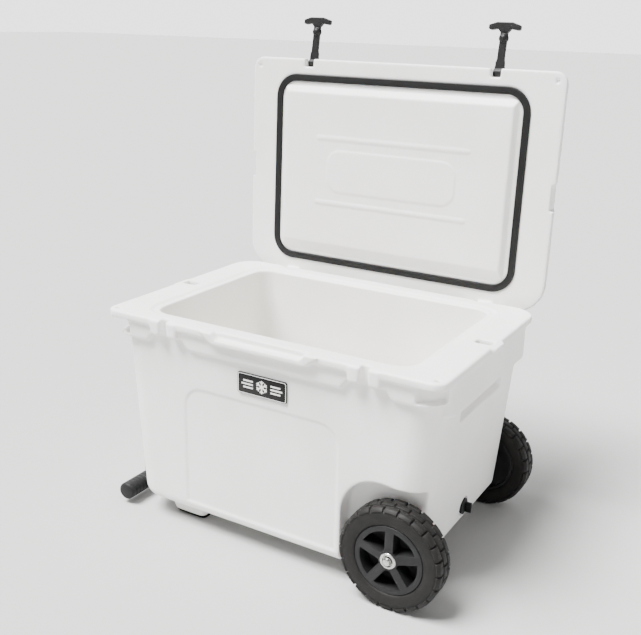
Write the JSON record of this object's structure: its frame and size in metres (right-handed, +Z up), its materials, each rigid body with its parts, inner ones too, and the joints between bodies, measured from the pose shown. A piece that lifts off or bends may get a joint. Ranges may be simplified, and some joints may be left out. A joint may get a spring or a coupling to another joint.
{
  "type": "wheeled hard cooler",
  "caption": "Rotomoulded hard cooler with an insulated tub, hinged gasketed lid, rubber T latches, side wheels and a swing-out pull handle, lid open.",
  "frame": {"origin": "bottom centre of the bounding box at rest, on the floor, with the lid open", "axes": "+X towards the wheels, -Y towards the front with the latches, +Z up"},
  "size_m": [0.7402, 0.5636, 0.9824],
  "materials": {
    "white_shell": "rotomoulded polyethylene, fine orange peel",
    "foam_core": "rigid closed-cell foam",
    "badge": "black plate, plain bars",
    "seal_rubber": "black sealing rubber",
    "latch_rubber": "black moulded rubber",
    "foot_rubber": "black rubber",
    "grip_rubber": "black ribbed grip rubber",
    "tyre_rubber": "solid tyre rubber",
    "wheel_nylon": "charcoal nylon",
    "bush_nylon": "natural nylon",
    "steel": "stainless steel",
    "aluminium": "satin aluminium"
  },
  "bodies": {
    "body": {"body_shell": "white_shell", "body_foam": "foam_core", "body_foam_plug": "white_shell", "badge_plate": "badge", "drain_sleeve": "white_shell", "foot_front": "foot_rubber", "foot_rear": "foot_rubber", "foot_screw_front": "steel", "foot_screw_rear": "steel", "bracket_screw_front_low": "steel", "bracket_screw_front_high": "steel", "bracket_screw_rear_low": "steel", "bracket_screw_rear_high": "steel", "hinge_rod_left": "steel", "hinge_rod_right": "steel", "axle_front": "steel", "axle_rear": "steel", "axle_socket_front": "steel", "axle_socket_rear": "steel", "axle_washer_front": "steel", "axle_washer_rear": "steel", "axle_cap_front": "steel", "axle_cap_rear": "steel", "handle_bracket_front": "aluminium", "handle_bracket_rear": "aluminium", "pivot_bolt_front": "steel", "pivot_bolt_rear": "steel"},
    "lid": {"lid_shell": "white_shell", "lid_foam": "foam_core", "lid_foam_plug": "white_shell", "lid_gasket": "seal_rubber", "latch_pin_left": "steel", "latch_pin_right": "steel"},
    "latch_left": {"latch_left": "latch_rubber"},
    "latch_right": {"latch_right": "latch_rubber"},
    "handle": {"grip_core_tube": "aluminium", "grip_sleeve": "grip_rubber", "grip_end_front": "grip_rubber", "grip_end_rear": "grip_rubber", "handle_arm_front": "aluminium", "handle_arm_rear": "aluminium", "pivot_bush_front": "bush_nylon", "pivot_bush_rear": "bush_nylon"},
    "wheel_front": {"wheel_rim_front": "wheel_nylon", "wheel_tyre_front": "tyre_rubber", "wheel_bush_front": "bush_nylon"},
    "wheel_rear": {"wheel_rim_rear": "wheel_nylon", "wheel_tyre_rear": "tyre_rubber", "wheel_bush_rear": "bush_nylon"},
    "drain_gasket": {"drain_gasket": "seal_rubber"},
    "drain_plug": {"drain_plug": "seal_rubber"}
  },
  "joints": [
    {"name": "lid_hinge", "type": "hinge", "parent": "body", "child": "lid", "pos_m": [-0.0061, 0.21146, 0.4185], "axis": [-1, 0, 0], "range_deg": [-91.2, 0]},
    {"name": "handle_swing", "type": "hinge", "parent": "body", "child": "handle", "pos_m": [-0.3561, -0.02874, 0.33], "axis": [0, 1, 0], "range_deg": [0, 130]},
    {"name": "latch_left_swing", "type": "hinge", "parent": "lid", "child": "latch_left", "pos_m": [-0.2181, 0.2609, 0.88784], "axis": [1, 0, 0], "range_deg": [-72, 98]},
    {"name": "latch_right_swing", "type": "hinge", "parent": "lid", "child": "latch_right", "pos_m": [0.2059, 0.2609, 0.88784], "axis": [1, 0, 0], "range_deg": [-72, 98]},
    {"name": "wheel_front_spin", "type": "hinge", "parent": "body", "child": "wheel_front", "pos_m": [0.2719, -0.25099, 0.0982], "axis": [0, 1, 0], "continuous": true},
    {"name": "wheel_rear_spin", "type": "hinge", "parent": "body", "child": "wheel_rear", "pos_m": [0.2719, 0.19351, 0.0982], "axis": [0, 1, 0], "continuous": true},
    {"name": "drain_travel", "type": "slide", "parent": "body", "child": "drain_gasket", "axis": [1, 0, 0], "range_m": [0, 0.009]},
    {"name": "drain_turn", "type": "hinge", "parent": "drain_gasket", "child": "drain_plug", "pos_m": [0.30641, -0.02874, 0.1], "axis": [1, 0, 0], "range_deg": [0, 1080]}
  ],
  "couplings": [
    {"joint": "drain_travel", "follows": "drain_turn", "m_per_rad": 0.000477}
  ]
}
